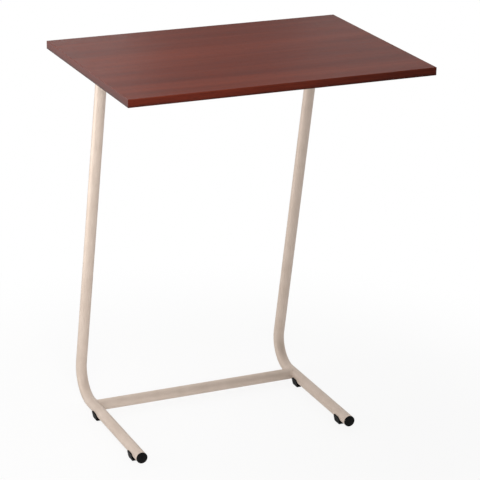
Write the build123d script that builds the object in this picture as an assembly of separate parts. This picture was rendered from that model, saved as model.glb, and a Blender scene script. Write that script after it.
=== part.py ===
from build123d import *
import os
from math import radians, sqrt, tan

# Laptop table: a laminated board on two bent tubes that a crossbar ties together.
# Millimetres and degrees. X runs to the right, -Y is the front, Z is up.
# The origin lies on the floor, in the middle of the table's plan.

# Tabletop
top_width = 600.0
top_depth = 418.0
top_height = 765.0
core_thickness = 13.8
laminate_thickness = 0.6
edge_band_thickness = 1.0
arris_radius = 0.4

# Bent tubes: the corners are where the centre lines of two straight runs meet
tube_diameter = 22.0
tube_wall = 1.2
bend_radius = 55.0
frame_inset = 80.0
leg_lean = 10.8
foot_clearance = 6.0
foot_length = 341.0
arm_length = 250.0
arm_setback = 84.0

# Crossbar between the feet
bar_to_bend = 10.0
weld_gap = 0.3
weld_radius = 1.8
weld_sink = 0.9
weld_reach = 68.0

# End plugs
plug_head = 2.6
plug_dome = 0.9
plug_rounding = 0.8
plug_stem_length = 14.0
plug_stem_wall = 1.6
plug_fin_depth = 0.9
plug_fin_length = 2.2
plug_fin_count = 3
plug_fit = 0.1

# Saddle glides under the feet
glide_length = 22.0
glide_wall = 2.0
glide_sole_width = 19.0
glide_corner = 2.0
glide_toe = 5.0
glide_fit = 0.15
glide_to_foot_end = 22.0
glide_to_bar = 6.0
peg_diameter = 5.6
peg_barb = 0.5
peg_length = 6.0
peg_slot = 1.2
peg_fit = 0.2

# Bolts that hold the board on the arms
bolt_diameter = 6.0
bolt_hole_fit = 0.3
bolt_head_diameter = 12.0
bolt_head_height = 3.6
bolt_head_rounding = 1.5
bolt_socket_width = 4.0
bolt_socket_depth = 2.0
bolt_tip_gap = 3.0
bolt_to_bend = 25.0
bolt_to_arm_end = 35.0
washer_diameter = 15.0
washer_thickness = 2.5
washer_fit = 0.1
insert_diameter = 10.0
insert_cover = 4.0
insert_fit = 0.1

# Sizes that follow from those above
frame_spacing = top_width - 2 * frame_inset
tube_radius = tube_diameter / 2
bore_radius = tube_radius - tube_wall
top_thickness = core_thickness + 2 * laminate_thickness
underside_z = top_height - top_thickness
foot_z = foot_clearance + tube_radius
arm_z = underside_z - tube_radius
leg_run = (arm_z - foot_z) * tan(radians(leg_lean))
lower_tangent = bend_radius * tan(radians((90 + leg_lean) / 2))
upper_tangent = bend_radius * tan(radians((90 - leg_lean) / 2))
rear_overhang = leg_run - arm_setback - lower_tangent + bend_radius + tube_radius

# Places along Y, with the table's whole depth centred on the origin
top_rear_y = (top_depth - rear_overhang) / 2
top_centre_y = top_rear_y - top_depth / 2
upper_corner_y = top_rear_y - arm_setback
lower_corner_y = upper_corner_y + leg_run
foot_front_y = lower_corner_y - foot_length
arm_front_y = upper_corner_y - arm_length
bar_y = lower_corner_y - lower_tangent - bar_to_bend - tube_radius
glide_front_y = foot_front_y + glide_to_foot_end + glide_length / 2
glide_rear_y = bar_y - tube_radius - glide_to_bar - glide_length / 2
bolt_front_y = arm_front_y + bolt_to_arm_end
bolt_rear_y = upper_corner_y - upper_tangent - bolt_to_bend

peg_hole_radius = peg_diameter / 2 + peg_fit
bolt_hole_radius = bolt_diameter / 2 + bolt_hole_fit
insert_length = laminate_thickness + core_thickness - insert_cover
insert_hole_radius = insert_diameter / 2 + insert_fit
insert_top_z = underside_z + insert_length
sides = {"left": -1, "right": 1}
bolt_places = [(side * frame_spacing / 2, y) for side in sides.values() for y in (bolt_front_y, bolt_rear_y)]


def upright(radius, x, y, low, high):
    """Upright cylinder between two heights."""
    return Pos(x, y, (low + high) / 2) * Cylinder(radius, high - low)


def slab(width, depth, low, high, y=0.0, x=0.0):
    """Flat rectangular block between two heights."""
    return Pos(x, y, (low + high) / 2) * Box(width, depth, high - low)


def along_y(radius, length, x, y, z):
    """Cylinder lying along Y, centred on a point."""
    return Pos(x, y, z) * Rot(90, 0, 0) * Cylinder(radius, length)


def along_x(radius, length, y, z):
    """Cylinder lying along X, centred on the middle of the table."""
    return Pos(0, y, z) * Rot(0, 90, 0) * Cylinder(radius, length)


# Tabletop


def board_core():
    """Panel inside the laminates, with blind holes for the threaded inserts."""
    width = top_width - 2 * edge_band_thickness
    depth = top_depth - 2 * edge_band_thickness
    core = slab(width, depth, underside_z + laminate_thickness, top_height - laminate_thickness, top_centre_y)
    for x, y in bolt_places:
        core -= upright(insert_hole_radius, x, y, underside_z, insert_top_z)
    return core


def laminate(low, drilled):
    """Thin sheet that covers one face of the core, drilled on the underside."""
    width = top_width - 2 * edge_band_thickness
    depth = top_depth - 2 * edge_band_thickness
    high = low + laminate_thickness
    sheet = slab(width, depth, low, high, top_centre_y)
    if drilled:
        for x, y in bolt_places:
            sheet -= upright(insert_hole_radius, x, y, low, high)
    return sheet


def long_edge_band(side):
    """Strip along the front or rear edge, over the ends of the short strips."""
    y = top_centre_y + side * (top_depth - edge_band_thickness) / 2
    strip = slab(top_width, edge_band_thickness, underside_z, top_height, y)
    outer = strip.faces().sort_by(Axis.Y)[-1 if side > 0 else 0]
    return fillet(outer.edges(), arris_radius)


def short_edge_band(side):
    """Strip along the left or right edge, between the long strips."""
    x = side * (top_width - edge_band_thickness) / 2
    length = top_depth - 2 * edge_band_thickness
    strip = slab(edge_band_thickness, length, underside_z, top_height, top_centre_y, x)
    outer = strip.faces().sort_by(Axis.X)[-1 if side > 0 else 0]
    return fillet(outer.edges().filter_by(Axis.Y), arris_radius)


# Tube frame


def frame_tube(side):
    """Bent tube of one side: foot, leaning leg and arm, with its drilled holes."""
    x = side * frame_spacing / 2
    route = FilletPolyline(
        (x, foot_front_y, foot_z),
        (x, lower_corner_y, foot_z),
        (x, upper_corner_y, arm_z),
        (x, arm_front_y, arm_z),
        radius=bend_radius,
    )
    start = Plane(origin=route @ 0, z_dir=route % 0)
    tube = sweep(start * Circle(tube_radius), path=route)
    tube -= sweep(start * Circle(bore_radius), path=route)
    for y in (glide_front_y, glide_rear_y):
        tube -= upright(peg_hole_radius, x, y, 0, foot_z)
    for y in (bolt_front_y, bolt_rear_y):
        tube -= upright(bolt_hole_radius, x, y, arm_z - tube_diameter, arm_z + tube_diameter)
    return tube


def crossbar():
    """Straight tube between the feet, its ends coped to fit round them."""
    bar = along_x(tube_radius, frame_spacing, bar_y, foot_z)
    bar -= along_x(bore_radius, frame_spacing, bar_y, foot_z)
    for side in sides.values():
        bar -= along_y(tube_radius + weld_gap, 2 * tube_diameter, side * frame_spacing / 2, bar_y, foot_z)
    return bar


def crossbar_weld(side):
    """Two weld beads at one coped end, along the front and rear seams where the tubes cross."""
    joint = Pos(side * frame_spacing / 2, bar_y, foot_z)
    foot = along_y(tube_radius, 2 * tube_diameter, 0, 0, 0)
    bar = Pos(-side * tube_diameter, 0, 0) * along_x(tube_radius, 2 * tube_diameter, 0, 0)
    half_width = tube_radius * sqrt(2)
    half_height = tube_radius - weld_sink
    beads = []
    for turn in (-1, 1):
        diagonal = Plane(origin=(0, 0, 0), x_dir=(-side, turn, 0), z_dir=(turn, side, 0))
        arc = EllipticalCenterArc(
            (0, 0),
            half_width,
            half_height,
            start_angle=-weld_reach,
            arc_size=2 * weld_reach,
        )
        seam = diagonal * arc
        bead = sweep(Plane(origin=seam @ 0, z_dir=seam % 0) * Circle(weld_radius), path=seam)
        for end in (seam @ 0, seam @ 1):
            bead += Pos(*end) * Sphere(weld_radius)
        beads.append(joint * (bead - foot - bar))
    return Compound(children=beads)


# Plastic fittings


def end_plug(x, y, z):
    """Push-in plug with a domed head, a hollow stem and three ring fins, facing the front."""
    crown = plug_head + plug_dome
    fin_radius = bore_radius - plug_fit
    stem_radius = fin_radius - plug_fin_depth
    rim = tube_radius - plug_rounding
    head = Curve() + [
        Polyline((0, crown), (0, 0), (tube_radius, 0), (tube_radius, plug_head - plug_rounding), (rim, plug_head)),
        TangentArc((0, crown), (rim, plug_head), tangent=(1, 0)),
    ]
    plug = revolve(Plane.XZ * make_face(head), Axis.Z)
    plug += upright(stem_radius, 0, 0, -plug_stem_length, 0)
    fin_pitch = plug_stem_length / plug_fin_count
    for index in range(plug_fin_count):
        fin = Cone(stem_radius, fin_radius, plug_fin_length)
        plug += Pos(0, 0, -index * fin_pitch - plug_fin_length) * fin
    plug -= upright(stem_radius - plug_stem_wall, 0, 0, -plug_stem_length, -plug_stem_wall)
    return Pos(x, y, z) * Rot(90, 0, 0) * plug


def glide(x, y):
    """Saddle glide: a tapered shoe round the lower half of the foot, with a split peg."""
    half_width = tube_radius + glide_fit + glide_wall
    sole = glide_sole_width / 2
    section = make_face(Polyline((-half_width, foot_z), (-sole, 0), (sole, 0), (half_width, foot_z), close=True))
    section = fillet(section.vertices().sort_by(Axis.Y)[:2], glide_corner)
    shoe = extrude(Plane.XZ * section, glide_length / 2, both=True)
    flank = Plane.YZ * Pos(0, foot_z / 2) * RectangleRounded(glide_length, foot_z, glide_toe)
    shoe &= extrude(flank, half_width, both=True)
    shoe -= along_y(tube_radius + glide_fit, glide_length, 0, 0, foot_z)
    return Pos(x, y, 0) * (shoe + glide_peg())


def glide_peg():
    """Split peg with a barb that snaps in behind the tube wall."""
    shank = peg_diameter / 2
    root_z = foot_clearance / 2
    barb_z = foot_z - sqrt(bore_radius**2 - peg_hole_radius**2) + peg_fit
    tip_z = foot_clearance + peg_length
    outline = Polyline(
        (0, root_z),
        (shank, root_z),
        (shank, barb_z),
        (shank + peg_barb, barb_z + peg_barb),
        (shank - peg_barb, tip_z),
        (0, tip_z),
        close=True,
    )
    peg = revolve(Plane.XZ * make_face(outline), Axis.Z)
    return peg - slab(peg_slot, peg_diameter * 2, foot_clearance, tip_z)


# Fixings between the arms and the board


def saddle_washer(x, y):
    """Round washer whose upper face fits the underside of the arm."""
    low = arm_z - tube_radius - washer_thickness
    washer = upright(washer_diameter / 2, x, y, low, arm_z)
    washer -= upright(bolt_hole_radius, x, y, low, arm_z)
    return washer - along_y(tube_radius + washer_fit, 2 * washer_diameter, x, y, arm_z)


def fixing_bolt(x, y):
    """Button-head bolt with a hexagon socket, up through the arm into the board."""
    seat_z = arm_z - tube_radius - washer_thickness
    head_z = seat_z - bolt_head_height
    head = upright(bolt_head_diameter / 2, x, y, head_z, seat_z)
    head = fillet(head.edges().sort_by(Axis.Z)[0], bolt_head_rounding)
    socket = RegularPolygon(bolt_socket_width / 2, 6, major_radius=False)
    head -= Pos(x, y, head_z) * extrude(socket, bolt_socket_depth)
    return head + upright(bolt_diameter / 2, x, y, seat_z, insert_top_z - bolt_tip_gap)


def threaded_insert(x, y):
    """Sleeve in the board that takes a fixing bolt."""
    sleeve = upright(insert_diameter / 2, x, y, underside_z, insert_top_z)
    return sleeve - upright(bolt_hole_radius, x, y, underside_z, insert_top_z)


def group(make):
    """One piece of a kind at each of the bolt places."""
    return Compound(children=[make(x, y) for x, y in bolt_places])


nodes = {
    "board_core": board_core(),
    "top_laminate": laminate(top_height - laminate_thickness, drilled=False),
    "backing_laminate": laminate(underside_z, drilled=True),
    "edge_band_front": long_edge_band(-1),
    "edge_band_rear": long_edge_band(1),
    "crossbar": crossbar(),
    "fixing_bolts": group(fixing_bolt),
    "saddle_washers": group(saddle_washer),
    "threaded_inserts": group(threaded_insert),
}
for name, side in sides.items():
    frame_x = side * frame_spacing / 2
    nodes[f"edge_band_{name}"] = short_edge_band(side)
    nodes[f"{name}_frame_tube"] = frame_tube(side)
    nodes[f"crossbar_weld_{name}"] = crossbar_weld(side)
    nodes[f"foot_plug_{name}"] = end_plug(frame_x, foot_front_y, foot_z)
    nodes[f"arm_plug_{name}"] = end_plug(frame_x, arm_front_y, arm_z)
    nodes[f"glide_front_{name}"] = glide(frame_x, glide_front_y)
    nodes[f"glide_rear_{name}"] = glide(frame_x, glide_rear_y)

os.makedirs("parts", exist_ok=True)
for name, shape in nodes.items():
    export_step(shape, f"parts/{name}.step")
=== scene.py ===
import math

import bpy
from mathutils import Matrix, Vector

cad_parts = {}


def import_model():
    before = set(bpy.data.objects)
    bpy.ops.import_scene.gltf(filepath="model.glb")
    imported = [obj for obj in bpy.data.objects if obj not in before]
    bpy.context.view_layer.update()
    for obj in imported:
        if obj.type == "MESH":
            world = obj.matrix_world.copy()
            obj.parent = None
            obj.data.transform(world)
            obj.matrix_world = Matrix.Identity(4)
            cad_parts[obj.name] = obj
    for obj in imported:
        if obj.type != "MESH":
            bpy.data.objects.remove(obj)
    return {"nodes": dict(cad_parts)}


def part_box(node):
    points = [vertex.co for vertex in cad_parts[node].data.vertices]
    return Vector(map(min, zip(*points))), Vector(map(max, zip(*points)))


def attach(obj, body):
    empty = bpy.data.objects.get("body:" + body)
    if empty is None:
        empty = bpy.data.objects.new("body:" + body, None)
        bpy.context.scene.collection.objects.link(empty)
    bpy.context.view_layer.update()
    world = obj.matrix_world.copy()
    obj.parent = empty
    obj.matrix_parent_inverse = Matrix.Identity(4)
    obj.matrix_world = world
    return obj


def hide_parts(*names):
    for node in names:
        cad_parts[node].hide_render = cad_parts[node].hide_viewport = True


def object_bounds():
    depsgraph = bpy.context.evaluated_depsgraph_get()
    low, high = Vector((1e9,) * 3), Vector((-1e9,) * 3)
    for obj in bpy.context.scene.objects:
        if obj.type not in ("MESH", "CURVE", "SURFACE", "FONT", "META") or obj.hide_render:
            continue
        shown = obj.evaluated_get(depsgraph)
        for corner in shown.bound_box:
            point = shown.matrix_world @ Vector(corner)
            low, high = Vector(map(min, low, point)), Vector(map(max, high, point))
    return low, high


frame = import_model()
cad_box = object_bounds()
nodes = frame["nodes"]

# Laptop table: finishes, weld beads, stage, light and camera. Metres; -Y is the front, Z is up.
MM = 0.001


def srgb(red, green, blue):
    """A colour written as 0 to 255 display values, as the linear colour that a shader takes."""
    linear = []
    for value in (red, green, blue):
        share = value / 255
        linear.append(share / 12.92 if share <= 0.04045 else ((share + 0.055) / 1.055) ** 2.4)
    return (*linear, 1.0)


WHITE = (1.0, 1.0, 1.0, 1.0)

# Most of a noise texture's values lie in this range
NOISE_RANGE = (0.3, 0.7)

# Wood print: colours, length and width of its figure, fibres and pores, and how they add up
MAHOGANY = {"dark": srgb(90, 32, 17), "middle": srgb(110, 42, 24), "light": srgb(127, 54, 33)}
EDGE_STRIP = {"dark": srgb(75, 23, 12), "middle": srgb(91, 31, 17), "light": srgb(110, 45, 28)}
PORE_COLOUR = srgb(58, 19, 10)
FIGURE_SIZE = (900 * MM, 55 * MM)
FIBRE_SIZE = (70 * MM, 1.6 * MM)
PORE_SIZE = (14 * MM, 0.6 * MM)
FIGURE_SHARE = 0.6
PORE_LEVELS = (0.6, 0.7)
PORE_SHARE = 0.7
GRAIN_STOPS = (0.34, 0.5, 0.68)
WOOD_ROUGHNESS_PLAY = (-0.05, 0.06)
WOOD_BUMP = (0.12, 0.05 * MM)

# Edge strips: painted shade at the lower arris, painted highlight at the upper one, their reach, and how
# both break up
PAINTED_SHADE_COLOUR = srgb(46, 18, 11)
PAINTED_SHADE_REACH = 6.0 * MM
PAINTED_HIGHLIGHT_REACH = 2.5 * MM
BREAKS_PER_METRE = 60
BREAK_LEVELS = (0.35, 0.65)
BREAK_SHARES = (0.55, 1.0)

# Powder coat of the tubes: patterns in repeats per metre, bump as strength and depth
COAT_COLOURS = [(0.35, srgb(197, 180, 166)), (0.65, srgb(209, 193, 180))]
COAT_ROUGHNESS = (0.53, 0.61)
COAT_MOTTLE = 28
COAT_SPECK = 1400
COAT_SPECK_SHARE = 0.3
COAT_PEEL = 480
COAT_SPECK_HEIGHT = 0.2
COAT_BUMP = (0.06, 0.06 * MM)

# Black plastics of the plugs and washers and of the glides
PLUG_BLACK = [(0.35, srgb(10, 10, 11)), (0.7, srgb(21, 20, 20))]
GLIDE_BLACK = [(0.35, srgb(3, 3, 3)), (0.7, srgb(8, 8, 8))]
PLASTIC_ROUGHNESS = (0.4, 0.54)
PLASTIC_GRAIN = 2200
PLASTIC_HAZE = 120
PLASTIC_BUMP = (0.25, 0.05 * MM)

# Zinc plate of the bolts and inserts
ZINC_COLOURS = [(0.3, srgb(190, 196, 205)), (0.55, srgb(208, 208, 206)), (0.75, srgb(214, 208, 190))]
ZINC_ROUGHNESS = (0.24, 0.4)
ZINC_FILM = 160
ZINC_SCRATCHES = (3000, 300, 3000)
ZINC_BUMP = (0.08, 0.03 * MM)

# Raw chips of the core and backing sheet under the board
CHIP_COLOURS = [(0.1, srgb(128, 98, 64)), (0.5, srgb(172, 138, 96)), (0.9, srgb(206, 178, 136))]
CHIPS = (260, 260, 700)
CHIP_BUMP = (0.4, 0.3 * MM)
BACKING_COLOURS = [(0.3, srgb(82, 46, 34)), (0.7, srgb(102, 60, 46))]
BACKING_ROUGHNESS = (0.62, 0.74)
BACKING_MOTTLE = (45, 160, 45)
BACKING_PEBBLE = 1100
BACKING_BUMP = (0.2, 0.06 * MM)

# Weld beads at the ends of the crossbar
WELD_RADIUS = 1.75 * MM
WELD_SINK = 0.9 * MM
WELD_REACH = math.radians(68)
WELD_RIPPLES = 14
WELD_RIPPLE_DEPTH = 0.2
WELD_END_SHARE = 0.06
WELD_END_GIRTH = 0.3
WELD_RINGS_PER_RIPPLE = 8
WELD_RING_POINTS = 14

# Floor, and the studio's strength from its dim front to its bright back, as light and in reflections
FLOOR_SIZE = 40.0
FLOOR_WHITE = srgb(228, 227, 226)
SHADOW_RADIUS = (0.4, 0.95)
SHADOW_LIFT = 0.88
BRIGHT_SIDE = (0.1, 0.97, 0.22)
BRIGHT_TURN = (-0.6, 0.5)
AMBIENT = (0.26, 0.92)
MIRRORED = (0.2, 0.9)

# Lamps: spread in degrees, power in watts. The key would whiten the top from behind, so it isn't glossy.
TOP_HEIGHT = cad_box[1][2]
LAMPS = {
    "key": {
        "place": (-0.8, -1.5, 0.95), "target": (-0.4, 0.1, 0.2),
        "size": 0.9, "spread": 46, "power": 3.1, "glossy": False,
    },
    "side": {
        "place": (-1.2, 0.35, 0.46), "target": (-0.22, 0.12, 0.62),
        "size": 0.6, "spread": 80, "power": 1.7,
    },
    "fill": {
        "place": (-0.4, -1.1, 0.25), "target": (-0.12, 0.12, 0.8),
        "size": 0.4, "spread": 30, "power": 0.2,
    },
    "sheen_left": {
        "place": (0.26, 1.8, 1.33), "target": (-0.25, 0.0, TOP_HEIGHT),
        "size": 0.5, "spread": 90, "power": 0.44,
    },
    "sheen_right": {
        "place": (1.3, 1.8, 1.2), "target": (0.3, 0.0, TOP_HEIGHT),
        "size": 0.5, "spread": 90, "power": 0.2,
    },
    "overhead": {
        "place": (0.3, 0.5, 1.9), "target": (-0.28, -0.2, TOP_HEIGHT),
        "size": 0.5, "spread": 36, "power": 0.28,
    },
}

# Camera: a long lens at the front left, above the table
IMAGE_PX = 480
CAMERA_FOCAL_PX = 2097
CAMERA_PLACE = (-1.553, -3.4336, 1.771)
CAMERA_YAW = 0.4303
CAMERA_PITCH = 0.351
CAMERA_ROLL = 0.02102


# Node building


class NodeTree:
    """Short ways to add and link the nodes of a material or of the world."""

    def __init__(self, tree):
        self.tree = tree

    def feed(self, socket, value):
        """Links a socket to another node's output, or sets its value."""
        if isinstance(value, bpy.types.NodeSocket):
            self.tree.links.new(value, socket)
        else:
            socket.default_value = value

    def node(self, kind, inputs=None, **properties):
        """A new node with its properties, and with its inputs linked or set."""
        made = self.tree.nodes.new(kind)
        for key, value in properties.items():
            setattr(made, key, value)
        for key, value in (inputs or {}).items():
            self.feed(made.inputs[key], value)
        return made

    def span(self, value, low, high, to_low=0.0, to_high=1.0, smooth=False):
        """Maps a range of values to another range, clamped."""
        kind = "SMOOTHSTEP" if smooth else "LINEAR"
        inputs = {"Value": value, "From Min": low, "From Max": high, "To Min": to_low, "To Max": to_high}
        return self.node("ShaderNodeMapRange", inputs, interpolation_type=kind).outputs["Result"]

    def math(self, operation, a, b):
        """One sum, product or the like of two numbers."""
        return self.node("ShaderNodeMath", {0: a, 1: b}, operation=operation).outputs["Value"]

    def blend(self, share, a, b):
        """Mixes two numbers by a share of the second. A Mix node takes numbers at its inputs 2 and 3."""
        return self.node("ShaderNodeMix", {0: share, 2: a, 3: b}, data_type="FLOAT").outputs[0]

    def tint(self, share, a, b):
        """Mixes two colours by a share of the second. A Mix node takes colours at its inputs 6 and 7."""
        return self.node("ShaderNodeMix", {0: share, 6: a, 7: b}, data_type="RGBA").outputs[2]

    def axis(self, vector, name):
        """One coordinate of a vector."""
        return self.node("ShaderNodeSeparateXYZ", {"Vector": vector}).outputs[name]


class Finish(NodeTree):
    """A material under construction, with its node tree, its shader and the object's coordinates."""

    def __init__(self, name, **settings):
        self.material = bpy.data.materials.new(name)
        self.material.use_nodes = True
        super().__init__(self.material.node_tree)
        self.shader = self.tree.nodes["Principled BSDF"]
        for socket, value in settings.items():
            self.set(socket.replace("_", " ").title().replace("Ior", "IOR"), value)
        self.place = self.node("ShaderNodeTexCoord").outputs["Object"]

    def set(self, socket, value):
        """Sets or links one of the shader's own sockets."""
        self.feed(self.shader.inputs[socket], value)

    def stretched(self, x, y, z):
        """Object coordinates times a factor along each axis, in repeats per metre."""
        mapping = self.node("ShaderNodeMapping", {"Vector": self.place, "Scale": (x, y, z)})
        return mapping.outputs["Vector"]

    def even(self, repeats):
        """Object coordinates times the same factor along all axes, in repeats per metre."""
        return self.stretched(repeats, repeats, repeats)

    def noise(self, place, detail=2.0, roughness=0.5, distortion=0.0):
        """A noise texture at places that are already scaled."""
        inputs = {"Vector": place, "Scale": 1.0}
        inputs.update({"Detail": detail, "Roughness": roughness, "Distortion": distortion})
        return self.node("ShaderNodeTexNoise", inputs).outputs["Fac"]

    def ramp(self, value, stops):
        """Colour ramp from a list of (place, colour)."""
        made = self.node("ShaderNodeValToRGB", {"Fac": value})
        elements = made.color_ramp.elements
        while len(elements) < len(stops):
            elements.new(1.0)
        for element, (place, colour) in zip(elements, stops):
            element.position = place
            element.color = colour
        return made.outputs["Color"]

    def bump(self, height, strength, depth):
        """Lets a height stand out from the surface."""
        inputs = {"Height": height, "Strength": strength, "Distance": depth}
        self.set("Normal", self.node("ShaderNodeBump", inputs).outputs["Normal"])


# Finishes


def wood(name, grain_axis, colours, roughness, gloss, strip_heights=None):
    """Mahogany print: broad figure, fine fibres and short pores along one axis, satin to matt."""
    finish = Finish(name, specular_ior_level=gloss)

    def along(length, width):
        scale = [1 / width] * 3
        scale["XYZ".index(grain_axis)] = 1 / length
        return finish.stretched(*scale)

    figure = finish.noise(along(*FIGURE_SIZE), detail=3.0, roughness=0.55, distortion=0.6)
    fibres = finish.noise(along(*FIBRE_SIZE), detail=2.0, roughness=0.6)
    pores = finish.span(finish.noise(along(*PORE_SIZE), detail=1.0), *PORE_LEVELS)
    tones = (colours["dark"], colours["middle"], colours["light"])
    colour = finish.ramp(finish.blend(FIGURE_SHARE, fibres, figure), list(zip(GRAIN_STOPS, tones)))
    colour = finish.tint(finish.math("MULTIPLY", pores, PORE_SHARE), colour, PORE_COLOUR)
    if strip_heights:
        # Painted highlight on the upper arris of the strip, painted shade on its lower arris
        painted_highlight, painted_shade = painted_arris_light(finish, *strip_heights)
        colour = finish.tint(painted_highlight, colour, colours["light"])
        colour = finish.tint(painted_shade, colour, PAINTED_SHADE_COLOUR)
    finish.set("Base Color", colour)
    roughness_range = [roughness + play for play in WOOD_ROUGHNESS_PLAY]
    finish.set("Roughness", finish.span(fibres, *NOISE_RANGE, *roughness_range))
    finish.bump(finish.math("SUBTRACT", fibres, pores), *WOOD_BUMP)
    return finish.material


def painted_arris_light(finish, low, high):
    """Shares of painted highlight at the upper arris of an edge strip and of painted shade at the lower
    one, broken up.
    """
    height = finish.axis(finish.place, "Z")
    breaks = finish.noise(finish.even(BREAKS_PER_METRE), detail=3.0)
    breaks = finish.span(breaks, *BREAK_LEVELS, *BREAK_SHARES)
    painted_highlight = finish.math("MULTIPLY", finish.span(height, high - PAINTED_HIGHLIGHT_REACH, high), breaks)
    painted_shade = finish.math("MULTIPLY", finish.span(height, low + PAINTED_SHADE_REACH, low), breaks)
    return painted_highlight, painted_shade


def powder_coat():
    """Champagne pearl powder coat: faint mottle, orange peel and a satin sheen."""
    finish = Finish("powder_coat", metallic=0.35)
    mottle = finish.noise(finish.even(COAT_MOTTLE), detail=3.0)
    speck = finish.noise(finish.even(COAT_SPECK), detail=1.0)
    peel = finish.noise(finish.even(COAT_PEEL), detail=2.0)
    finish.set("Base Color", finish.ramp(finish.blend(COAT_SPECK_SHARE, mottle, speck), COAT_COLOURS))
    finish.set("Roughness", finish.span(mottle, *NOISE_RANGE, *COAT_ROUGHNESS))
    raised = finish.math("MULTIPLY", speck, COAT_SPECK_HEIGHT)
    finish.bump(finish.math("ADD", peel, raised), *COAT_BUMP)
    return finish.material


def moulded_plastic(name, colours, gloss):
    """Black moulded plastic with a fine spark-eroded grain and a little dust grey."""
    finish = Finish(name, specular_ior_level=gloss)
    grain = finish.noise(finish.even(PLASTIC_GRAIN), detail=2.0)
    haze = finish.noise(finish.even(PLASTIC_HAZE), detail=3.0)
    finish.set("Base Color", finish.ramp(haze, colours))
    finish.set("Roughness", finish.span(haze, *NOISE_RANGE, *PLASTIC_ROUGHNESS))
    finish.bump(grain, *PLASTIC_BUMP)
    return finish.material


def zinc():
    """Bright zinc plating with faint blue-yellow passivation and fine scratches."""
    finish = Finish("zinc_plate", metallic=1.0)
    film = finish.noise(finish.even(ZINC_FILM), detail=2.0)
    scratches = finish.noise(finish.stretched(*ZINC_SCRATCHES), detail=1.0)
    finish.set("Base Color", finish.ramp(film, ZINC_COLOURS))
    finish.set("Roughness", finish.span(scratches, *NOISE_RANGE, *ZINC_ROUGHNESS))
    finish.bump(scratches, *ZINC_BUMP)
    return finish.material


def pressed_chips():
    """Raw particle board: flat chips of several tones."""
    finish = Finish("pressed_chips", roughness=0.85, specular_ior_level=0.2)
    chips = finish.node("ShaderNodeTexVoronoi", {"Vector": finish.stretched(*CHIPS), "Scale": 1.0})
    tone = finish.node("ShaderNodeSeparateColor", {"Color": chips.outputs["Color"]}).outputs["Red"]
    finish.set("Base Color", finish.ramp(tone, CHIP_COLOURS))
    finish.bump(chips.outputs["Distance"], *CHIP_BUMP)
    return finish.material


def backing_sheet():
    """Plain brown backing sheet with a faint paper mottle and a pebbled matt face."""
    finish = Finish("backing_sheet", specular_ior_level=0.25)
    mottle = finish.noise(finish.stretched(*BACKING_MOTTLE), detail=4.0, roughness=0.6)
    pebble = finish.noise(finish.even(BACKING_PEBBLE), detail=1.0)
    finish.set("Base Color", finish.ramp(mottle, BACKING_COLOURS))
    finish.set("Roughness", finish.span(mottle, *NOISE_RANGE, *BACKING_ROUGHNESS))
    finish.bump(pebble, *BACKING_BUMP)
    return finish.material


def dress(paint):
    """Gives each CAD node the finish whose key is in its name, and the tubes and welds their paint."""
    strip_low, strip_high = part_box("edge_band_front")
    strip = {"colours": EDGE_STRIP, "strip_heights": (strip_low.z, strip_high.z)}
    long_strip = wood("edge_strip_long", "X", roughness=0.72, gloss=0.15, **strip)
    short_strip = wood("edge_strip_short", "Y", roughness=0.75, gloss=0.8, **strip)
    plug_plastic = moulded_plastic("plug_plastic", PLUG_BLACK, gloss=0.08)
    glide_plastic = moulded_plastic("glide_plastic", GLIDE_BLACK, gloss=0.03)
    steel = zinc()
    finishes = {
        "top_laminate": wood("mahogany_laminate", "X", MAHOGANY, roughness=0.36, gloss=0.02),
        "backing_laminate": backing_sheet(),
        "board_core": pressed_chips(),
        "edge_band_front": long_strip,
        "edge_band_rear": long_strip,
        "edge_band_left": short_strip,
        "edge_band_right": short_strip,
        "plug": plug_plastic,
        "saddle_washers": plug_plastic,
        "glide": glide_plastic,
        "fixing_bolts": steel,
        "threaded_inserts": steel,
    }
    for name, node in nodes.items():
        fitting = [finish for key, finish in finishes.items() if key in name]
        node.data.materials.clear()
        node.data.materials.append(fitting[0] if fitting else paint)


# Weld beads


def weld_rings(joint, side, turn, radius):
    """Points round one bead, ring by ring along the seam where the two tubes meet."""
    outward = Vector((-side, turn, 0.0)) * radius
    upward = Vector((0.0, 0.0, radius - WELD_SINK))
    across = outward.cross(upward).normalized()
    rings = []
    steps = WELD_RIPPLES * WELD_RINGS_PER_RIPPLE
    for step in range(steps + 1):
        share = step / steps
        angle = WELD_REACH * (2 * share - 1)
        centre = joint + outward * math.cos(angle) + upward * math.sin(angle)
        tangent = (upward * math.cos(angle) - outward * math.sin(angle)).normalized()
        lift = tangent.cross(across)
        ripple = 1 - WELD_RIPPLE_DEPTH * (1 - abs(math.sin(math.pi * WELD_RIPPLES * share)))
        from_end = min(share, 1 - share, WELD_END_SHARE) / WELD_END_SHARE
        swell = math.sqrt(1 - (1 - from_end) ** 2)
        girth = WELD_RADIUS * ripple * (WELD_END_GIRTH + (1 - WELD_END_GIRTH) * swell)
        ring = []
        for point in range(WELD_RING_POINTS):
            turned = 2 * math.pi * point / WELD_RING_POINTS
            ring.append(centre + girth * (across * math.cos(turned) + lift * math.sin(turned)))
        rings.append(ring)
    return rings


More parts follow.
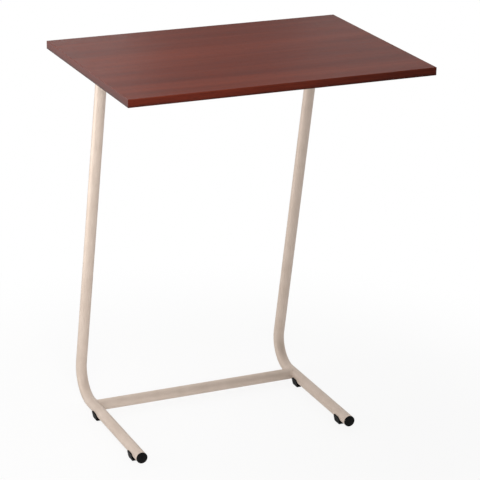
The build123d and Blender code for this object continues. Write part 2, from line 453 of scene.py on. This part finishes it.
def weld_beads(name, side, paint):
    """The front and rear bead of one crossbar end, as a rippled mesh in place of the plain ones."""
    bar_low, bar_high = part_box("crossbar")
    foot_low, foot_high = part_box(f"{name}_frame_tube")
    middle = (bar_low + bar_high) / 2
    joint = Vector(((foot_low.x + foot_high.x) / 2, middle.y, middle.z))
    count = WELD_RING_POINTS
    points, faces = [], []
    for turn in (-1, 1):
        rings = weld_rings(joint, side, turn, (bar_high.z - bar_low.z) / 2)
        first = len(points)
        last = first + (len(rings) - 1) * count
        points += [point for ring in rings for point in ring]
        for here in range(first, last, count):
            above = here + count
            for point in range(count):
                following = (point + 1) % count
                faces.append((here + point, here + following, above + following, above + point))
        faces.append([first + point for point in reversed(range(count))])
        faces.append([last + point for point in range(count)])
    mesh = bpy.data.meshes.new(f"weld_beads_{name}")
    mesh.from_pydata(points, [], faces)
    mesh.shade_smooth()
    mesh.materials.append(paint)
    piece = bpy.data.objects.new(f"weld_beads_{name}", mesh)
    bpy.context.scene.collection.objects.link(piece)
    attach(piece, "root")
    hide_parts(f"crossbar_weld_{name}")


# Stage, light and camera


def floor():
    """White floor that keeps the shadow near the table and runs out into plain white."""
    half = FLOOR_SIZE / 2
    corners = [(-half, -half, 0), (half, -half, 0), (half, half, 0), (-half, half, 0)]
    mesh = bpy.data.meshes.new("floor")
    mesh.from_pydata(corners, [], [(0, 1, 2, 3)])
    plane = bpy.data.objects.new("floor", mesh)
    bpy.context.scene.collection.objects.link(plane)
    finish = Finish("floor_white", base_color=FLOOR_WHITE, roughness=1.0, specular_ior_level=0.0)
    radius = finish.node("ShaderNodeVectorMath", {0: finish.place}, operation="LENGTH").outputs["Value"]
    white = finish.span(radius, *SHADOW_RADIUS, SHADOW_LIFT, 1.0, smooth=True)
    share = finish.math("MULTIPLY", white, seen_directly(finish))
    glow = finish.node("ShaderNodeEmission", {"Color": WHITE, "Strength": 1.0})
    lit = finish.node("ShaderNodeMixShader", {0: share, 1: finish.shader.outputs[0], 2: glow.outputs[0]})
    back = finish.node("ShaderNodeNewGeometry").outputs["Backfacing"]
    clear = finish.node("ShaderNodeBsdfTransparent")
    seen = finish.node("ShaderNodeMixShader", {0: back, 1: lit.outputs[0], 2: clear.outputs[0]})
    finish.feed(finish.tree.nodes["Material Output"].inputs["Surface"], seen.outputs[0])
    mesh.materials.append(finish.material)


def seen_directly(finish):
    """1 for rays from the camera and for mirrored or transmitted ones, 0 for rays that carry light."""
    path = finish.node("ShaderNodeLightPath").outputs
    mirrored = finish.math("MAXIMUM", path["Is Glossy Ray"], path["Is Transmission Ray"])
    return finish.math("MAXIMUM", path["Is Camera Ray"], mirrored)


def world():
    """Soft studio with a bright back behind the table and a dimmer front. The camera sees it white."""
    made = bpy.data.worlds.new("studio")
    made.use_nodes = True
    bpy.context.scene.world = made
    studio = NodeTree(made.node_tree)
    direction = studio.node("ShaderNodeTexCoord").outputs["Generated"]
    facing = studio.node("ShaderNodeVectorMath", {0: direction, 1: BRIGHT_SIDE}, operation="DOT_PRODUCT")
    lit = studio.span(facing.outputs["Value"], *BRIGHT_TURN, *AMBIENT, smooth=True)
    mirrored = studio.span(facing.outputs["Value"], *BRIGHT_TURN, *MIRRORED, smooth=True)
    path = studio.node("ShaderNodeLightPath").outputs
    strength = studio.blend(path["Is Glossy Ray"], lit, mirrored)
    strength = studio.blend(path["Is Transmission Ray"], strength, 1.0)
    strength = studio.blend(path["Is Camera Ray"], strength, 1.0)
    light = studio.tree.nodes["Background"]
    studio.feed(light.inputs["Color"], WHITE)
    studio.feed(light.inputs["Strength"], strength)


def soft_lamp(name, place, target, size, spread, power, glossy=True):
    """Square soft light that the camera doesn't see. Only a glossy one shows in reflections."""
    data = bpy.data.lights.new(name, "AREA")
    data.size = size
    data.spread = math.radians(spread)
    data.energy = power
    lamp = bpy.data.objects.new(name, data)
    bpy.context.scene.collection.objects.link(lamp)
    aim = (Vector(target) - Vector(place)).to_track_quat("-Z", "Y").to_matrix().to_4x4()
    lamp.matrix_world = Matrix.Translation(place) @ aim
    lamp.visible_camera = False
    lamp.visible_glossy = glossy


def camera():
    """Camera at the photograph's place, turned by its yaw, pitch and roll."""
    data = bpy.data.cameras.new("camera")
    data.lens = CAMERA_FOCAL_PX / IMAGE_PX * data.sensor_width
    view = bpy.data.objects.new("camera", data)
    bpy.context.scene.collection.objects.link(view)
    forward = Vector((
        math.sin(CAMERA_YAW) * math.cos(CAMERA_PITCH),
        math.cos(CAMERA_YAW) * math.cos(CAMERA_PITCH),
        -math.sin(CAMERA_PITCH),
    ))
    turn = forward.to_track_quat("-Z", "Y").to_matrix() @ Matrix.Rotation(CAMERA_ROLL, 3, "Z")
    view.matrix_world = Matrix.Translation(CAMERA_PLACE) @ turn.to_4x4()
    bpy.context.scene.camera = view


bpy.context.scene.view_settings.view_transform = "Standard"
tube_paint = powder_coat()
dress(tube_paint)
for end, end_side in (("left", -1), ("right", 1)):
    weld_beads(end, end_side, tube_paint)
floor()
world()
for lamp_name, lamp_settings in LAMPS.items():
    soft_lamp(lamp_name, **lamp_settings)
camera()
